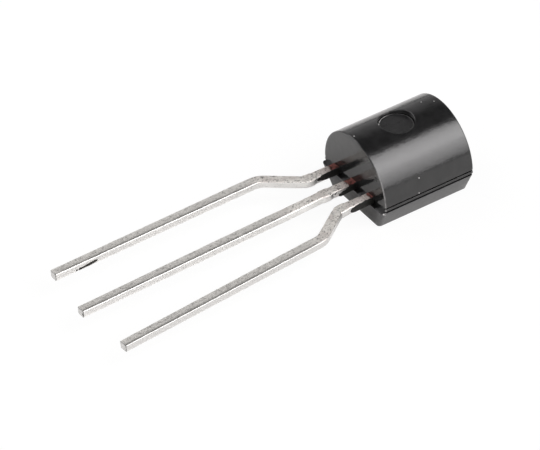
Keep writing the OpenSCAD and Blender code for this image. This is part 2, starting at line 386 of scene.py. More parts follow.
def moulded_epoxy(look, sizes):
    """Black moulding compound: glossy, faintly drawn along the mould, scuffed and dusty,
    with painted highlights on the near rim, round the mark's burr and in two glints.
    """
    material, graph = new_material("moulded_epoxy")
    place = graph.place()
    x, y, z = graph.axes(place)
    nx, _, nz = graph.facing()
    grain = graph.noise(place, 13.0, 4.0, 0.65)
    ripple = graph.noise(place, 3.2, 2.0)
    drawn = graph.noise(graph.stretched(place, (0.5, 7.0, 7.0)), 1.6, 3.0)
    cloud = graph.noise(place, 2.4, 3.0, 0.6).step(0.2, 0.8)
    radius, top, end = sizes.width / 2 / MM, sizes.crown / MM, sizes.length / 2 / MM
    off_axis = graph.off_line(place, (0.0, 0.0, top - radius), (0.0, 1.0, 1.0))
    # Scuffs and a painted highlight on the near half of the rim at the lead end.
    rim = (x.step(0.065 - end, 0.04 - end) * off_axis.step(radius - 0.04, radius - 0.025)
           * y.step(-0.6 * radius, -0.85 * radius))
    scuff_and_highlight = 0.3 * rim * graph.noise(place, 4.0, 3.0).step(0.2, 0.55)
    # The painted highlight on the burr is brightest on the side of the mark away from the leads.
    back = sizes.mark_back / MM
    out = graph.off_line(place, (-back, 0.0, 0.0), (1.0, 1.0, 0.0))
    highlight_side = (0.6 * y - 0.8 * (x + back)).step(0.2, 0.62)
    depth = top - z
    burr_highlight = (abs(out - BURR_HIGHLIGHT_RADIUS).step(*BURR_HIGHLIGHT_SIDE) * depth.step(*BURR_HIGHLIGHT_LOWEST)
            * depth.step(*BURR_HIGHLIGHT_HIGHEST) * (0.12 + 0.75 * highlight_side))
    # Dust, scuffs and the painted highlights together, in the pale colour of scuffs and
    # highlights.
    marks = graph.spots(place, DUST_AND_GLINTS).at_least(scuff_and_highlight).at_least(burr_highlight)
    in_mark = (depth.step(0.34, 0.28) * nz.step(0.9, 0.98)
               * off_axis.step(radius - 0.12, radius - 0.16))
    black = graph.blend(cloud, times(look.epoxy, 0.6), times(look.epoxy, 1.45))
    gloss = look.epoxy_roughness + 0.06 * (grain - 0.5) + 0.06 * (drawn - 0.5)
    smooth = look.face_roughness + 0.03 * (grain - 0.5)
    roughness = gloss + abs(nx).step(0.9, 0.98) * (smooth - gloss)
    height = 0.3 * grain + 0.6 * ripple + 0.2 * drawn + 0.5 * marks
    graph.surface(Base_Color=graph.blend(marks, black, look.scuff_and_highlight), IOR=1.58,
                  Roughness=roughness + 0.4 * marks + 0.15 * in_mark,
                  Normal=graph.bump(height, 0.01 * MM))
    return material


def mottled(name, colour, shares, pattern, roughness, height, **rest):
    """One colour that gets stronger, rougher and higher with a noise pattern."""
    material, graph = new_material(name)
    mottle = graph.noise(graph.place(), *pattern)
    graph.surface(
        Base_Color=graph.blend(mottle, *[times(colour, share) for share in shares]),
        Roughness=roughness[0] + roughness[1] * mottle,
        Normal=graph.bump(mottle, height * MM), **rest)
    return material


def dark_flash_and_reflection(look):
    """Dull, torn resin that has crept out along a lead; its dark colour also paints the dark
    reflection of the body in the lead's side.
    """
    return mottled("dark_flash_and_reflection", look.flash, (0.6, 1.6), (9.0, 4.0, 0.65), (0.32, 0.25), 0.02,
                   Specular_IOR_Level=0.25)


def silver_paste(look):
    """Flaky silver-filled paste."""
    return mottled("silver_paste", look.silver, (0.6, 1.0), (60.0, 3.0, 0.7), (0.3, 0.35),
                   0.006, Metallic=0.8)


def drawn_gold(look):
    """Fine drawn gold wire."""
    return mottled("drawn_gold", look.gold, (0.9, 1.0), (70.0, 2.0), (0.14, 0.16), 0.001,
                   Metallic=1.0)


# Length of bare metal at each lead's root, in millimetres.
BARE_ROOTS = {1: 0.38, 2: 0.4, 3: 0.12}
# Places along X, in millimetres: where the thick dull tin by the body runs out, and where
# the dark edge of the cut tips starts.
DULL_END = (-6.6, -5.4)
TIP_START = (-15.4, -15.7)
# Painted shade on each lead's cut sides, as the brightness of their tin: darkest on lead 3.
SIDE_SHADES = {1: 0.98, 2: 0.96, 3: 0.78}
# Scratches and pits in each lead's tin, as spots: place and radius, in millimetres. The
# scratch on lead 1 is a bowed chain of spots, and the first of them stands apart.
FAULTS = {
    1: [
        (-14.851, 2.129, 1.122, 0.061), (-14.704, 2.133, 1.119, 0.086),
        (-14.63, 2.134, 1.112, 0.086), (-14.558, 2.136, 1.111, 0.078),
        (-14.484, 2.138, 1.118, 0.078), (-14.409, 2.14, 1.123, 0.086),
        (-14.335, 2.142, 1.124, 0.096), (-14.261, 2.143, 1.128, 0.104),
        (-14.187, 2.145, 1.138, 0.104), (-14.112, 2.147, 1.148, 0.104),
        (-14.037, 2.149, 1.158, 0.096), (-13.962, 2.151, 1.166, 0.096),
        (-13.88, 2.153, 1.171, 0.078),
    ],
    2: [
        (-16.19, -0.575, 1.19, 0.08), (-3.74, -0.155, 1.24, 0.07),
        (-3.7, -0.155, 1.29, 0.065), (-3.64, -0.155, 1.33, 0.06),
        (-3.4, -0.155, 1.25, 0.06), (-3.34, -0.155, 1.29, 0.05),
    ],
    3: [(-3.47, -1.425, 1.2, 0.02)],
}


def tinned_lead(look, name, end, number):
    """Dipped tin on copper: satin above, brighter on the cut sides, bare at the body,
    with painted shade along the upper edge on the -Y side and on lead 3's cut sides.
    """
    material, graph = new_material(name)
    place = graph.place()
    x, _, _ = graph.axes(place)
    nx, ny, nz = graph.facing()
    grain = graph.noise(place, 9.0, 4.0, 0.75)
    fine = graph.noise(place, 30.0, 2.0)
    cloud = graph.noise(place, 1.7, 3.0)
    tinge = graph.noise(place, 1.4, 3.0)
    pits = graph.noise(place, 12.0, 2.0).step(0.55, 0.66)
    above = abs(nz).step(0.8, 0.97)
    # The copper ends in a ragged line, and tints the tin past it.
    bare_root = BARE_ROOTS[number]
    away = -end - x + 0.3 * (graph.noise(place, 5.0, 3.0) - 0.5)
    copper = away.step(bare_root + 0.06, bare_root - 0.04)
    flushed = away.step(bare_root + 0.9, bare_root) * 0.25
    # Thick dull tin reaches from the body to past the crank.
    dull = x.step(*DULL_END) * nz.step(0.2, 0.55)
    # Painted shade along the upper edge on the -Y side, in patches.
    painted_edge_shade = (ny.step(-0.05, -0.12) * ny.step(-0.98, -0.85) * (1.0 - dull)
            * graph.noise(graph.stretched(place, (0.7, 3.0, 3.0)), 1.5, 3.0).step(0.25, 0.5))
    # The cut tip is grey, inside a dark edge.
    cut = nx.step(-0.6, -0.9)
    cut_edge = nx.step(-0.15, -0.4) * nx.step(-0.99, -0.93) * x.step(*TIP_START)
    drawn = graph.blend(cloud, times(look.drawn_tin, 0.94), times(look.drawn_tin, 1.05))
    drawn = graph.blend(grain.step(0.46, 0.66), drawn, times(look.drawn_tin, 0.55))
    drawn = graph.blend(painted_edge_shade, drawn, times(look.drawn_tin, 0.45))
    drawn = graph.blend(dull * (0.3 + 0.7 * tinge.step(0.45, 0.6)), drawn, look.flushed_tin)
    drawn = graph.blend(dull * pits, drawn, times(look.drawn_tin, 0.3))
    bright = times(look.tin, SIDE_SHADES[number])
    side = graph.blend(cloud, times(bright, 0.97), times(bright, 1.03))
    side = graph.blend(grain.step(0.52, 0.75), side, times(bright, 0.78))
    side = graph.blend(cut, side, times(look.tin, 0.66))
    tin = graph.blend(above.at_least(dull), side, drawn)
    tin = graph.blend(cut_edge, tin, times(look.tin, 0.22))
    tin = graph.blend(flushed, tin, look.copper)
    patches = graph.noise(place, 7.0, 3.0).step(0.4, 0.6)
    bare = graph.blend(patches, look.copper, times(look.copper, 0.3))
    fault = graph.spots(place, FAULTS[number])
    roughness = (0.2 + 0.1 * grain + above * (0.14 + 0.1 * (cloud - 0.5)) + 0.1 * copper
                 + 0.3 * fault + 0.22 * dull)
    height = 0.7 * grain + 0.3 * fine - 0.6 * copper - fault
    graph.surface(
        Base_Color=graph.blend(fault, graph.blend(copper, tin, bare), look.fault),
        Metallic=1.0 - above * 0.3, Roughness=roughness, Normal=graph.bump(height, 0.012 * MM))
    return material


def sawn_silicon(look):
    """Polished die with a metal frame and two bond pads on top, and sawn sides."""
    material, graph = new_material("sawn_silicon")
    place = graph.place()
    _, _, nz = graph.facing()
    lo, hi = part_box("silicon_die")
    x, y, _ = graph.axes(graph.vector("SUBTRACT", place, (lo + hi) / 2 / MM))
    cell = abs(x).at_least(abs(y))
    frame_line = cell.step(0.2, 0.205) * cell.step(0.225, 0.22)
    pads = abs(abs(y) - 0.12).at_least(abs(x)).step(0.085, 0.08)
    metal = pads.at_least(frame_line) * nz.step(0.9, 0.98)
    saw = graph.noise(graph.stretched(place, (4.0, 4.0, 90.0)), 1.0, 2.0) * nz.step(0.9, 0.5)
    graph.surface(
        Base_Color=graph.blend(metal, look.silicon, (0.75, 0.76, 0.78)),
        Metallic=0.5 + 0.5 * metal, Roughness=0.12 + 0.35 * saw,
        Normal=graph.bump(saw + metal, 0.002 * MM))
    return material


class Skin:
    """Points and faces of one closed mesh; equal points are one point."""

    def __init__(self):
        self.points = []
        self.faces = []
        self.known = {}

    def point(self, x, y, z):
        key = (round(x / WELD), round(y / WELD), round(z / WELD))
        if key not in self.known:
            self.known[key] = len(self.points)
            self.points.append((x, y, z))
        return self.known[key]

    def row(self, places):
        return [self.point(*place) for place in places]

    def face(self, *corners):
        """Adds a face; corners that coincide with the one before are left out."""
        kept = [c for k, c in enumerate(corners) if c != corners[k - 1]]
        if len(kept) > 2 and len(set(kept)) == len(kept):
            self.faces.append(kept)

    def join(self, row, following):
        """Fills between two rows of equal count."""
        for k in range(len(row) - 1):
            self.face(row[k], row[k + 1], following[k + 1], following[k])

    def join_rings(self, ring, following):
        """Fills between two closed rings of equal count."""
        self.join(ring + ring[:1], following + following[:1])

    def fan(self, row, middle):
        for k in range(len(row) - 1):
            self.face(row[k], row[k + 1], middle)

    def close(self, ring):
        """Closes a ring with shrinking rings and a fan."""
        places = [Vector(self.points[k]) for k in ring]
        centre = sum(places, Vector()) / len(places)
        for share in (0.8, 0.5, 0.2):
            inner = self.row([tuple(centre + (place - centre) * share) for place in places])
            self.join_rings(ring, inner)
            ring = inner
        self.fan(ring + ring[:1], self.point(*centre))

    def build(self, name, material):
        """Makes the object: smooth, with its flat faces kept flat by face area."""
        mesh = bpy.data.meshes.new(name)
        mesh.from_pydata(self.points, [], self.faces)
        mesh.validate()
        mesh.shade_smooth()
        mesh.set_sharp_from_angle(angle=CREASE)
        mesh.materials.append(material)
        made = bpy.data.objects.new(name, mesh)
        bpy.context.scene.collection.objects.link(made)
        weighted = made.modifiers.new("flat faces", "WEIGHTED_NORMAL")
        weighted.weight = 100
        weighted.keep_sharp = True
        return made


def spread(first, last, count):
    """Evenly spaced numbers from first to last, both among them."""
    return [first + (last - first) * k / count for k in range(count + 1)]


def part_way(first, last, share):
    """Numbers part of the way from one list of numbers to another."""
    return [a + (b - a) * share for a, b in zip(first, last)]


def softened(rows, radii):
    """Rounds the corners of a list of rows, each by its own radius."""
    made = []
    for k, (row, radius) in enumerate(zip(rows, radii)):
        if not radius:
            made.append(row)
            continue
        ends = []
        for other in (rows[k - 1], rows[k + 1]):
            reach = max(abs(a - b) for a, b in zip(row, other))
            ends.append(part_way(row, other, min(MOST_ROUNDED, radius / reach)))
        for t in spread(0.0, 1.0, EDGE_STEPS):
            made.append([(1 - t) ** 2 * a + 2 * t * (1 - t) * b + t * t * c
                         for a, b, c in zip(ends[0], row, ends[1])])
    return made


class BodySkin(Skin):
    """Skin of the moulded body, from the flat side up to the crown."""

    def __init__(self, sizes):
        super().__init__()
        self.sizes = sizes
        self.radius = sizes.width / 2
        self.axis_z = sizes.crown - self.radius
        self.end = sizes.length / 2
        self.patch = self.radius * sin(pi * MARK_HALF_STEPS / ROUND_STEPS)
        straight = self.end - sizes.rim
        self.stations = (spread(-straight, -self.patch, PLAIN_STEPS)[:-1]
                         + spread(-self.patch, self.patch, 2 * MARK_HALF_STEPS)
                         + spread(self.patch, straight, PLAIN_STEPS)[1:])
        self.shares = [(x + straight) / (2 * straight) for x in self.stations]
        self.across = [-cos(pi * j / ROUND_STEPS) for j in range(ROUND_STEPS + 1)]

    def along(self, x0, x1, r_lead, r_closed):
        """Places of the stations between the two corner radii of a plan."""
        return [x0 + r_lead + share * (x1 - r_closed - x0 - r_lead) for share in self.shares]

    def arc(self, x, y, radius, start):
        """Inner points of a quarter arc from a start angle in quarter turns."""
        angles = [(start + k / RIM_STEPS) * pi / 2 for k in range(1, RIM_STEPS)]
        return [(x + radius * cos(a), y + radius * sin(a)) for a in angles]

    def plan(self, z, x0, x1, half, r_lead, r_closed):
        """Plan of the body at one height, in its four sides: near, closed, far, lead."""
        xs = self.along(x0, x1, r_lead, r_closed)
        lead_x, closed_x = x0 + r_lead, x1 - r_closed
        near = [(x, -half) for x in xs] + self.arc(closed_x, r_closed - half, r_closed, -1)
        closed = ([(x1, share * (half - r_closed)) for share in self.across]
                  + self.arc(closed_x, half - r_closed, r_closed, 0))
        far = [(x, half) for x in xs[::-1]] + self.arc(lead_x, half - r_lead, r_lead, 1)
        lead = ([(x0, share * (half - r_lead)) for share in self.across[::-1]]
                + self.arc(lead_x, r_lead - half, r_lead, 2))
        return [self.row([(x, y, z) for x, y in side]) for side in (near, closed, far, lead)]

    def wall(self):
        """Plans from the flat side to the foot of the round, and the faces between."""
        s = self.sizes
        top_half = s.width / 2
        inner = s.groove_depth
        rim_inner = max(0.0, s.rim - inner)
        groove = (-self.end, self.end - inner, top_half - inner, rim_inner, rim_inner)
        outer = (-self.end, self.end, top_half, s.rim, s.rim)
        corners = (s.ledge_corner, s.corner)
        foot_x0 = s.ledge_rake - s.ledge - self.end
        foot_x1 = self.end - s.end_step - s.end_rake
        strip_foot = s.parting + s.groove_height
        strip_top = strip_foot + s.strip
        shoulder = strip_top + s.groove_height
        # The flat side starts a little inside its own edge, so that the edge can round.
        inset = 2 * s.edge
        small = s.edge / 2
        rows = [
            ((0.0, foot_x0 + inset, foot_x1 - inset, s.flat / 2 - inset, *corners), 0),
            ((0.0, foot_x0, foot_x1, s.flat / 2, *corners), s.edge),
            ((s.parting, -self.end - s.ledge, self.end - s.end_step, top_half, *corners), s.edge),
            ((s.parting, *groove), 0), ((strip_foot, *groove), 0),
            ((strip_foot, *outer), small), ((strip_top, *outer), small),
            ((strip_top, *groove), 0), ((shoulder, *groove), 0),
            ((shoulder, *outer), small), ((self.axis_z, *outer), 0),
        ]
        plans = [self.plan(*row) for row in softened(*zip(*rows))]
        for sides, following in zip(plans, plans[1:]):
            self.join_rings(sum(sides, []), sum(following, []))
        return plans[0], plans[-1], rows[0][0]

    def flat_side(self, sides, row):
        """Closes the flat side with a grid, edge strips and corner fans."""
        z, x0, x1, half, r_lead, r_closed = row
        near, closed, far, lead = sides
        xs = self.along(x0, x1, r_lead, r_closed)
        count, last = len(xs), ROUND_STEPS + 1
        grid = [self.row([(x, share * (half - r_lead), z) for x in xs])
                for share in self.across]
        for row_now, row_next in zip(grid, grid[1:]):
            self.join(row_next, row_now)
        self.join(grid[0], near[:count])
        self.join(far[:count][::-1], grid[-1])
        self.join([r[-1] for r in grid], closed[:last])
        self.join([r[0] for r in grid[::-1]], lead[:last])
        for side, full, following, corner in (
                (near, count, closed, grid[0][-1]), (closed, last, far, grid[-1][-1]),
                (far, count, lead, grid[-1][0]), (lead, last, near, grid[0][0])):
            self.fan((side[full - 1:] + following[:1])[::-1], corner)

    def half_round(self):
        """Half-round log with rounded rims, open where the mark's patch goes."""
        rim = self.sizes.rim
        quarter = spread(0.0, pi / 2, RIM_STEPS)
        inner = self.end - rim
        rho = self.radius - rim
        round_off = [(inner + rim * cos(a), rho + rim * sin(a)) for a in quarter]
        profile = ([(-x, r) for x, r in round_off]
                   + [(x, self.radius) for x in self.stations[1:-1]] + round_off[::-1])
        rows = []
        for angle in spread(-pi / 2, pi / 2, ROUND_STEPS):
            rows.append(self.row([
                (x, r * sin(angle), self.axis_z + r * cos(angle)) for x, r in profile]))
        low, high = ROUND_STEPS // 2 - MARK_HALF_STEPS, ROUND_STEPS // 2 + MARK_HALF_STEPS
        first = RIM_STEPS + PLAIN_STEPS
        last = first + 2 * MARK_HALF_STEPS
        for j, (row, following) in enumerate(zip(rows, rows[1:])):
            if low <= j < high:
                self.join(row[:first + 1], following[:first + 1])
                self.join(row[last:], following[last:])
            else:
                self.join(row, following)
        edge = (rows[low][first:last] + [row[last] for row in rows[low:high]]
                + rows[high][first + 1:last + 1][::-1]
                + [row[first] for row in rows[high:low:-1]])
        return [row[0] for row in rows], [row[-1] for row in rows], edge

    def end_face(self, base, arc, x, outward):
        """Fills a half-round end face between its base line and its arc."""
        rho = self.radius - self.sizes.rim
        rows = [base]
        for t in spread(0.0, 1.0, CAP_ROWS)[1:-1]:
            rows.append(self.row([
                (x, share * rho, self.axis_z + t * rho * sqrt(max(0.0, 1 - share * share)))
                for share in self.across]))
        rows.append(arc)
        for low, high in zip(rows, rows[1:]):
            self.join(*((low, high) if outward else (high, low)))

    def crown_point(self, x, y, drop=0.0):
        return (x, y, self.axis_z + sqrt(self.radius ** 2 - y * y) - drop)

    def ejector_mark(self, edge):
        """Sinks the round mark into the patch, from its square edge to its floor."""
        s = self.sizes
        count = len(edge)
        # The patch's edge starts at a corner, three eighths of a turn before +X.
        turns = [2 * pi * (k / count - 0.375) for k in range(count)]
        outer = [self.points[k][:2] for k in edge]
        mark_r = s.mark / 2
        floor_z = s.crown - s.mark_depth
        rings = [edge]

        def ring(radius):
            return [(radius * cos(a) - s.mark_back, radius * sin(a)) for a in turns]

        def floor_ring(radius, z):
            rings.append(self.row([(x, y, z) for x, y in ring(radius)]))

        lip = ring(mark_r + s.mark_lip)
        for t in spread(0.0, 1.0, PATCH_RINGS)[1:]:
            rings.append(self.row([
                self.crown_point(*part_way(here, there, t)) for here, there in zip(outer, lip)]))
        for a in spread(0.0, pi / 2, EDGE_STEPS + 1)[1:]:
            rings.append(self.row([
                self.crown_point(x, y, s.mark_lip * (1 - cos(a)))
                for x, y in ring(mark_r + s.mark_lip * (1 - sin(a)))]))
        # A groove runs round the floor, with a burr along its inner edge: distance from
        # the wall and height above the floor, as shares of the groove.
        for inward, rise in ((0.0, -0.3), (0.04, -0.4), (0.1, -0.8), (0.2, -1.0), (0.4, -1.0),
                             (0.52, -0.8), (0.6, -0.2), (0.66, 0.08), (0.76, 0.12),
                             (0.9, 0.08), (1.1, 0.02), (1.4, 0.0)):
            floor_ring(mark_r - inward * s.mark_groove, floor_z + rise * s.mark_groove)
        for share in (0.82, 0.6, 0.4, 0.2):
            floor_ring(mark_r * share, floor_z)
        for ring_now, following in zip(rings, rings[1:]):
            self.join_rings(ring_now, following)
        self.fan(rings[-1] + rings[-1][:1], self.point(-s.mark_back, 0.0, floor_z))

    def make(self, name, material):
        foot, brim, foot_row = self.wall()
        self.flat_side(foot, foot_row)
        lead_arc, closed_arc, patch_edge = self.half_round()
        count = ROUND_STEPS + 1
        self.end_face(brim[1][:count], closed_arc, self.end, True)
        self.end_face(brim[3][:count][::-1], lead_arc, -self.end, False)
        self.ejector_mark(patch_edge)
        return self.build(name, material)


class LeadRun:
    """Centreline of a lead: straight, cranked out by two bends, straight to the tip.

    Distances along it are measured from the body's end face."""

    def __init__(self, sizes, number, end_x):
        i = number - 1
        self.outward = 1 - i
        y = sizes.shift + self.outward * sizes.pitch
        far_y = sizes.shift + sizes.spreads[i]
        drift = (sizes.reaches[i] - sizes.crank_to) * tan(sizes.leans[i])
        corners = [Vector((end_x - away, side)) for away, side in (
            (0.0, y), (sizes.crank_from, y), (sizes.crank_to, far_y),
            (sizes.reaches[i], far_y - drift))]
        self.parts = []      # each with its start distance, length, start, heading and turn
        self.bends = []      # start and end distance of each bend
        self.length = 0.0
        start = corners[0]
        for before, at, after in zip(corners, corners[1:], corners[2:]):
            way_in = (at - before).normalized()
            way_out = (after - at).normalized()
            turn = atan2(way_in.x * way_out.y - way_in.y * way_out.x, way_in @ way_out)
            tangent = sizes.bend * tan(abs(turn) / 2)
            bend_start = at - way_in * tangent
            self.add((bend_start - start).length, start, way_in, 0.0)
            begin = self.length
            self.add(sizes.bend * abs(turn), bend_start, way_in, turn)
            self.bends.append((begin, self.length))
            start = at + way_out * tangent
        self.add((corners[-1] - start).length, start, way_out, 0.0)

    def add(self, length, start, way, turn):
        if length:
            self.parts.append((self.length, length, start, way, turn))
            self.length += length

    def at(self, distance):
        """Point and heading at a distance; a negative one lies inside the body."""
        part = self.parts[0]
        for candidate in self.parts:
            if candidate[0] <= distance:
                part = candidate
        begin, length, start, way, turn = part
        along = distance - begin
        if not turn:
            return start + way * along, way
        heading = Matrix.Rotation(turn * along / length, 2) @ way
        inward = Vector((heading.y - way.y, way.x - heading.x))
        return start + inward * (length / turn), heading


def ramp(value, low, high):
    """Smooth step from nought to one."""
    t = min(1.0, max(0.0, (value - low) / (high - low)))
    return t * t * (3 - 2 * t)


def inner_stations(sizes, run):
    """Sections of a lead inside the body: distance, and half width on either side."""
    half = sizes.root / 2
    away, length, width = POST if run.outward else PAD
    inner = half if run.outward else width / 2
    halves = (width - inner, inner) if run.outward >= 0 else (inner, width - inner)
    return [(-away - length, *halves), (-away, *halves), (-away, half, half)]


def outer_distances(sizes, run):
    """Distances along a lead at which a section stands outside the body."""
    last = run.length - sizes.tip_edge
    breaks = {0.0, last}
    for edge in (sizes.stub_gap, sizes.stub_gap + sizes.stub_length):
        breaks |= {edge - STUB_SOFT, edge, edge + STUB_SOFT}
    for bend in run.bends:
        breaks |= set(spread(*bend, BEND_STEPS))
    even = spread(0.0, run.length, ceil(run.length / LEAD_STEP))
    clear = [distance for distance in even
             if min(abs(distance - other) for other in breaks) > 0.3 * LEAD_STEP]
    return [distance for distance in sorted([*breaks, *clear]) if distance <= last]


def half_width(sizes, run, distance):
    """Half width of a lead outside the body, with its trimmed stubs."""
    narrow = run.bends[0][1]
    wide = sum(run.bends[1]) / 2
    if distance < wide:
        share = max(0.0, (distance - narrow) / (wide - narrow))
        half = (sizes.root + (sizes.run - sizes.root) * share) / 2
    else:
        half = (sizes.run + (sizes.tip - sizes.run) * (distance - wide)
                / (run.length - wide)) / 2
    begin = sizes.stub_gap
    end = begin + sizes.stub_length
    stub = (ramp(distance, begin - STUB_SOFT, begin) * (1 - ramp(distance, end, end + STUB_SOFT)))
    return half + sizes.stub_out * stub


def section(left, right, low, high, sizes, dome, soft):
    """Outline of a lead's section as (sideways, z), anticlockwise seen from the tip.

    The upper side is domed, and its edges are broader by the soft share."""
    below = (sizes.lower_edge, 2 * sizes.lower_edge)
    above = (sizes.edge_width + soft * sizes.soft_width,
             sizes.edge_height + soft * sizes.soft_height)
    arcs = []
    for u, z, (wide, tall), quarter in (
            (below[0] - left, low + below[1], below, 2),
            (right - below[0], low + below[1], below, 3),
            (right - above[0], high - above[1], above, 0),
            (above[0] - left, high - above[1], above, 1)):
        angles = spread(quarter * pi / 2, (quarter + 1) * pi / 2, CORNER_STEPS)
        arcs.append([(u + wide * cos(a), z + tall * sin(a)) for a in angles])
    points = []
    for arc, following in zip(arcs, arcs[1:] + arcs[:1]):
        points += arc
        for share in spread(0.0, 1.0, SIDE_STEPS)[1:-1]:
            points.append(part_way(arc[-1], following[0], share))
    domed = []
    for u, z in points:
        across = 2 * (u + left) / (left + right) - 1
        lift = dome * (1 - across * across) if 2 * z > low + high else 0.0
        domed.append((u, z + lift))
    return domed


def make_lead(sizes, number, end_x, low, name, material):
    """Sweeps a rounded section along a lead, from its bond post or pad to its cut tip."""
    run = LeadRun(sizes, number, end_x)
    skin = Skin()
    rings = []

    def add_ring(distance, left, right, pull=0.0):
        """Adds a section, pulled in on all sides, with its coat of tin."""
        centre, way = run.at(distance)
        side = Vector((-way.y, way.x))
        coat, dome, sway = 0.0, 0.0, [0.0, 0.0, 0.0]
        if distance > 0:
            coat = sizes.solder * (ramp(distance, *COAT_START) - BARE_COAT)
            dome = sizes.dome
            sway = [SWAY * ramp(distance, 0.0, 0.5 * MM) * noise.noise(
                Vector((distance / MM * 1.7, 10.0 * number, 5.0 * k))) for k in range(3)]
        soft = ramp(distance, *SOFT_START) * (1 - ramp(distance, *SOFT_END))
        outline = section(
            left + coat + sway[0] - pull, right + coat + sway[1] - pull, low + pull,
            low + sizes.thickness + coat + sway[2] - pull, sizes, dome, soft)
        rings.append(skin.row([(*(centre - side * u), z) for u, z in outline]))

    for station in inner_stations(sizes, run):
        add_ring(*station)
    for distance in outer_distances(sizes, run):
        add_ring(distance, *[half_width(sizes, run, distance)] * 2)
    for a in spread(0.0, pi / 2, EDGE_STEPS)[1:]:
        add_ring(run.length - sizes.tip_edge * (1 - sin(a)), sizes.tip / 2, sizes.tip / 2,
                 sizes.tip_edge * (1 - cos(a)))
    for current, following in zip(rings, rings[1:]):
        skin.join_rings(following, current)
    skin.close(rings[0])
    skin.close(rings[-1][::-1])
    return skin.build(name, material)


# Resin flash on each side of each lead, shaped after the dark reflection of the body in the
# lead's side, so partly a painted reflection: the lead, the side (1 is +Y), and its stations
# as distance from the end face, lower edge and upper edge, in millimetres.
FLASH = [
    (1, -1, [(-0.08, 1.02, 1.36), (0.3, 1.015, 1.365), (0.72, 1.04, 1.37), (0.92, 1.08, 1.36),
             (1.1, 1.13, 1.34), (1.19, 1.17, 1.31), (1.25, 1.22, 1.27)]),
    (1, 1, [(-0.08, 1.03, 1.33), (0.4, 1.04, 1.32), (0.7, 1.07, 1.3), (0.86, 1.11, 1.27),
            (0.94, 1.16, 1.22)]),
    (2, -1, [(-0.08, 1.02, 1.36), (0.3, 1.01, 1.35), (0.5, 0.99, 1.315), (0.62, 0.985, 1.26),
             (0.82, 0.98, 1.22), (0.93, 1.03, 1.19), (1.0, 1.08, 1.16)]),
    (2, 1, [(-0.08, 1.03, 1.33), (0.3, 1.04, 1.33), (0.55, 1.08, 1.31), (0.66, 1.12, 1.27),
            (0.72, 1.17, 1.21)]),
    (3, -1, [(-0.08, 1.02, 1.35), (0.4, 1.02, 1.355), (0.8, 1.01, 1.355), (0.95, 1.0, 1.35),
             (1.11, 1.03, 1.33), (1.19, 1.08, 1.29), (1.24, 1.14, 1.22)]),
    (3, 1, [(-0.08, 1.03, 1.33), (0.35, 1.03, 1.32), (0.62, 1.06, 1.3), (0.78, 1.1, 1.27),
            (0.86, 1.15, 1.21)]),
]
FLASH_STEP = 0.04 * MM
FLASH_ROUND = 20         # points round a section of the flash
FLASH_HALF = 0.06 * MM   # half its thickness
FLASH_OUT = 0.03 * MM    # how far it stands out from the lead's side
FLASH_POWER = 0.55       # below one squares off its section
FLASH_GRAIN = 0.09 * MM  # size of its lumps
LUMP_OUT = 0.008 * MM    # how far they stand out sideways
LUMP_UP = 0.014 * MM     # how far they stand up


def between(stations, distance):
    """Lower and upper edge of the flash at a distance from the end face."""
    for (d0, *edges0), (d1, *edges1) in zip(stations, stations[1:]):
        if distance <= d1:
            return part_way(edges0, edges1, (distance - d0) / (d1 - d0))
    return stations[-1][1:]


def squared(value):
    """A cosine or sine that squares off the round it draws."""
    return copysign(abs(value) ** FLASH_POWER, value)


def flash_section(low, high, half_y, middle_y, side, distance, seed):
    """Outline of the flash as (sideways, z): a squared round with torn lumps."""
    outline = []
    for k in range(FLASH_ROUND):
        a = -2 * pi * k / FLASH_ROUND * side
        c, n = cos(a), sin(a)
        y = middle_y + half_y * squared(c)
        z = (low + high) / 2 + (high - low) / 2 * squared(n)
        torn = noise.noise(Vector((distance, y, z)) / FLASH_GRAIN + Vector((9.0 * seed, 0.0, 0.0)))
        outline.append((y + side * LUMP_OUT * torn * abs(c), z + LUMP_UP * torn * abs(n)))
    return outline


def make_flash(sizes, end_x, material):
    """All the flash as one object of closed blades, rooted inside the body."""
    skin = Skin()
    for seed, (number, side, stations) in enumerate(FLASH):
        root_y = sizes.shift + (2 - number) * sizes.pitch
        middle_y = root_y + side * (sizes.root / 2 + FLASH_OUT - FLASH_HALF)
        first, last = stations[0][0] * MM, stations[-1][0] * MM
        rings = []
        for distance in spread(first, last, round((last - first) / FLASH_STEP)):
            low, high = [edge * MM for edge in between(stations, distance / MM)]
            nearing = min(1.0, max(0.0, last - distance) / (3 * FLASH_STEP))
            half_y = FLASH_HALF * (0.35 + 0.65 * sqrt(nearing))
            outline = flash_section(low, high, half_y, middle_y, side, distance, seed)
            rings.append(skin.row([(end_x - distance, y, z) for y, z in outline]))
        # The two sides' outlines run opposite ways round, so one side is built backwards.
        if side < 0:
            rings.reverse()
        for current, following in zip(rings, rings[1:]):
            skin.join_rings(current, following)
        skin.close(rings[0][::-1])
        skin.close(rings[-1])
    return skin.build("flash_and_reflected_shade", material)


class MESH_OT_moulded_body(bpy.types.Operator):
    """Make the black moulded body"""

    bl_idname = "transistor.moulded_body"
    bl_label = "Moulded Body"

    def execute(self, context):
        scene = context.scene
        sizes = scene.body_sizes
        body = BodySkin(sizes).make("moulded_body", moulded_epoxy(scene.finishes, sizes))
        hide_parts("epoxy_body")
        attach(body, "root")
        return {"FINISHED"}


class MESH_OT_leads(bpy.types.Operator):
    """Make the three formed and tinned leads"""

    bl_idname = "transistor.leads"
    bl_label = "Leads"

    def execute(self, context):
        scene = context.scene
        end = scene.body_sizes.length / 2
        for number in (1, 2, 3):
            name = f"tinned_lead_{number}"
            material = tinned_lead(scene.finishes, name, end / MM, number)
            lead = make_lead(scene.lead_sizes, number, -end, scene.body_sizes.parting, name,
                             material)
            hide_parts(f"lead_{number}")
            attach(lead, "root")
        return {"FINISHED"}


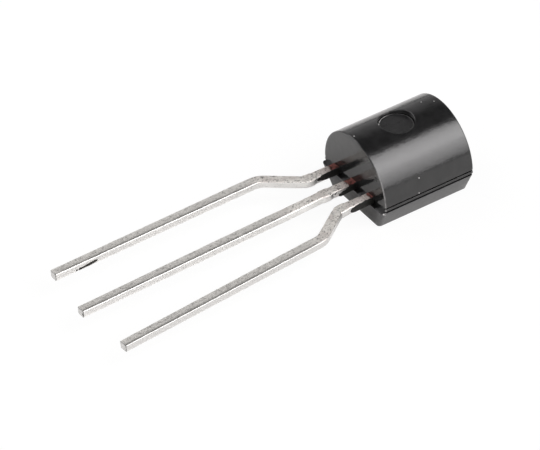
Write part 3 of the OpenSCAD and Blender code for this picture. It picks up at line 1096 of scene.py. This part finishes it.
class MESH_OT_resin_flash(bpy.types.Operator):
    """Make the thin resin flash along the roots of the leads, which also paints the dark
    reflection on their sides
    """

    bl_idname = "transistor.resin_flash"
    bl_label = "Resin Flash"

    def execute(self, context):
        scene = context.scene
        flash = make_flash(scene.lead_sizes, -scene.body_sizes.length / 2,
                           dark_flash_and_reflection(scene.finishes))
        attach(flash, "root")
        return {"FINISHED"}


class OBJECT_OT_die_and_wires(bpy.types.Operator):
    """Give the die, its paste and the bond wires their finishes"""

    bl_idname = "transistor.die_and_wires"
    bl_label = "Die and Wires"

    def execute(self, context):
        look = context.scene.finishes
        gold = drawn_gold(look)
        for name, material in (("silicon_die", sawn_silicon(look)),
                               ("die_attach", silver_paste(look)),
                               ("bond_wire_1", gold), ("bond_wire_3", gold)):
            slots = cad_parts[name].data.materials
            slots.clear()
            slots.append(material)
        return {"FINISHED"}


WHITE = (1.0, 1.0, 1.0)
FLOOR_HALF = 3.0         # half the floor's side, in metres
FLOOR_DROP = 0.01 * MM   # how far the floor lies below the flat side
# Share of plain white that the camera sees in the floor.
CAMERA_SHARE = 0.92
# Brightness of the room by the height of the direction, from the horizon to the zenith.
ROOM = [(0.0, 0.1), (0.05, 0.12), (0.08, 0.76), (0.18, 0.69), (0.3, 0.54), (0.42, 0.45),
        (0.53, 0.4), (0.63, 0.28), (0.67, 0.21), (0.71, 0.15), (0.75, 0.1), (0.79, 0.07),
        (1.0, 0.05)]
ROOM_TINT = (1.0, 0.985, 0.99)
# Share of the key's brightness by its angle from the zenith, in degrees towards -Y.
KEY = [(0.0, 0.0), (8.0, 0.05), (13.0, 0.22), (18.0, 0.66), (26.0, 0.84), (34.0, 0.96),
       (42.0, 1.0), (50.0, 0.94), (56.0, 0.74), (66.0, 0.58), (74.0, 0.42), (82.0, 0.26),
       (87.0, 0.2), (88.5, 0.0)]
# Ways to the two round soft boxes: the one that the leads' tops show, and the one that
# lights the floor.
REAR_WAY = (-0.403, 0.666, 0.628)
FILL_WAY = (-0.6, -0.35, 0.72)


class SCENE_OT_studio(bpy.types.Operator):
    """Set up the floor, the lit room and the camera"""

    bl_idname = "transistor.studio"
    bl_label = "Studio"

    def execute(self, context):
        studio = context.scene.studio
        self.add_floor(studio)
        self.add_room(context.scene, studio)
        self.add_camera(context.scene, studio)
        return {"FINISHED"}

    def add_floor(self, studio):
        """A wide pale floor that shows white but keeps the object's shadow."""
        mesh = bpy.data.meshes.new("floor")
        corners = [(-1, -1), (1, -1), (1, 1), (-1, 1)]
        mesh.from_pydata([(x * FLOOR_HALF, y * FLOOR_HALF, -FLOOR_DROP) for x, y in corners],
                         [], [(0, 1, 2, 3)])
        material, graph = new_material("pale_floor")
        paper = graph.noise(graph.place(), 0.02, 3.0)
        shade = graph.blend(paper, times(studio.floor, 0.985), studio.floor)
        lit = graph.node("BsdfDiffuse", inputs={"Color": shade})
        white = graph.node("Emission", inputs={"Color": WHITE, "Strength": 1.0})
        camera = graph.node("LightPath", output="Is Camera Ray")
        mixed = graph.node("MixShader",
                           inputs={0: CAMERA_SHARE * camera, 1: lit, 2: white})
        graph.node("OutputMaterial", inputs={"Surface": mixed})
        mesh.materials.append(material)
        floor = bpy.data.objects.new("floor", mesh)
        bpy.context.scene.collection.objects.link(floor)

    def add_room(self, scene, studio):
        """A room that is white to the camera, with three soft boxes and a dim ceiling."""
        world = bpy.data.worlds.new("room")
        world.use_nodes = True
        scene.world = world
        graph = Graph(world.node_tree)
        way = graph.node("TexCoord", output="Generated")
        x, y, z = graph.axes(way)

        def round_box(middle, outer, inner):
            """One within the inner angle of the middle, nought past the outer one."""
            near = graph.vector("DOT_PRODUCT", way, middle, output="Value")
            return near.step(cos(radians(outer)), cos(radians(inner)))

        turn = graph.maths("ARCTAN2", 0.0 - y, z) / (pi / 2)
        key = graph.ramp(turn, KEY, 90.0) * x.step(0.04, 0.16) * x.step(0.71, 0.61)
        light = (graph.ramp(z, ROOM, 1.0) + studio.key * key
                 + studio.rear * round_box(REAR_WAY, 24, 16)
                 + studio.fill * round_box(FILL_WAY, 34, 22))
        camera = graph.node("LightPath", output="Is Camera Ray")
        colour = graph.blend(camera, graph.scaled(ROOM_TINT, light), WHITE)
        background = graph.node("Background",
                                inputs={"Color": colour, "Strength": 1.0})
        graph.node("OutputWorld", inputs={"Surface": background})

    def add_camera(self, scene, studio):
        """A camera that starts at the aim, turns, and backs off by its distance."""
        data = bpy.data.cameras.new("camera")
        data.sensor_fit = "HORIZONTAL"
        data.sensor_width = 36.0
        data.lens = studio.lens
        data.clip_start = 0.001
        data.clip_end = 20.0
        camera = bpy.data.objects.new("camera", data)
        camera.matrix_world = (
            Matrix.Translation(studio.aim) @ Matrix.Rotation(studio.azimuth, 4, "Z")
            @ Matrix.Rotation(pi / 2 - studio.elevation, 4, "X")
            @ Matrix.Rotation(studio.roll, 4, "Z")
            @ Matrix.Translation((0.0, 0.0, studio.distance)))
        scene.collection.objects.link(camera)
        scene.camera = camera
        scene.view_settings.view_transform = "Standard"


class VIEW3D_PT_transistor(bpy.types.Panel):
    """Lists the pieces and their sizes and colours"""

    bl_label = "Transistor"
    bl_idname = "VIEW3D_PT_transistor"
    bl_space_type = "VIEW_3D"
    bl_region_type = "UI"
    bl_category = "Transistor"

    def draw(self, context):
        for operator in OPERATORS:
            self.layout.operator(operator.bl_idname)
        for name in GROUPS:
            group = getattr(context.scene, name)
            box = self.layout.box()
            for key in group.__annotations__:
                box.prop(group, key)


OPERATORS = (MESH_OT_moulded_body, MESH_OT_leads, MESH_OT_resin_flash,
             OBJECT_OT_die_and_wires, SCENE_OT_studio)
GROUPS = {"body_sizes": BodySizes, "lead_sizes": LeadSizes, "finishes": Finishes,
          "studio": Studio}
CLASSES = (*GROUPS.values(), *OPERATORS, VIEW3D_PT_transistor)


def register():
    for cls in CLASSES:
        bpy.utils.register_class(cls)
    for name, group in GROUPS.items():
        setattr(bpy.types.Scene, name, PointerProperty(type=group))


def unregister():
    for name in GROUPS:
        delattr(bpy.types.Scene, name)
    for cls in reversed(CLASSES):
        bpy.utils.unregister_class(cls)


def main():
    register()
    for operator in OPERATORS:
        group, name = operator.bl_idname.split(".")
        getattr(getattr(bpy.ops, group), name)()


if __name__ == "__main__":
    main()
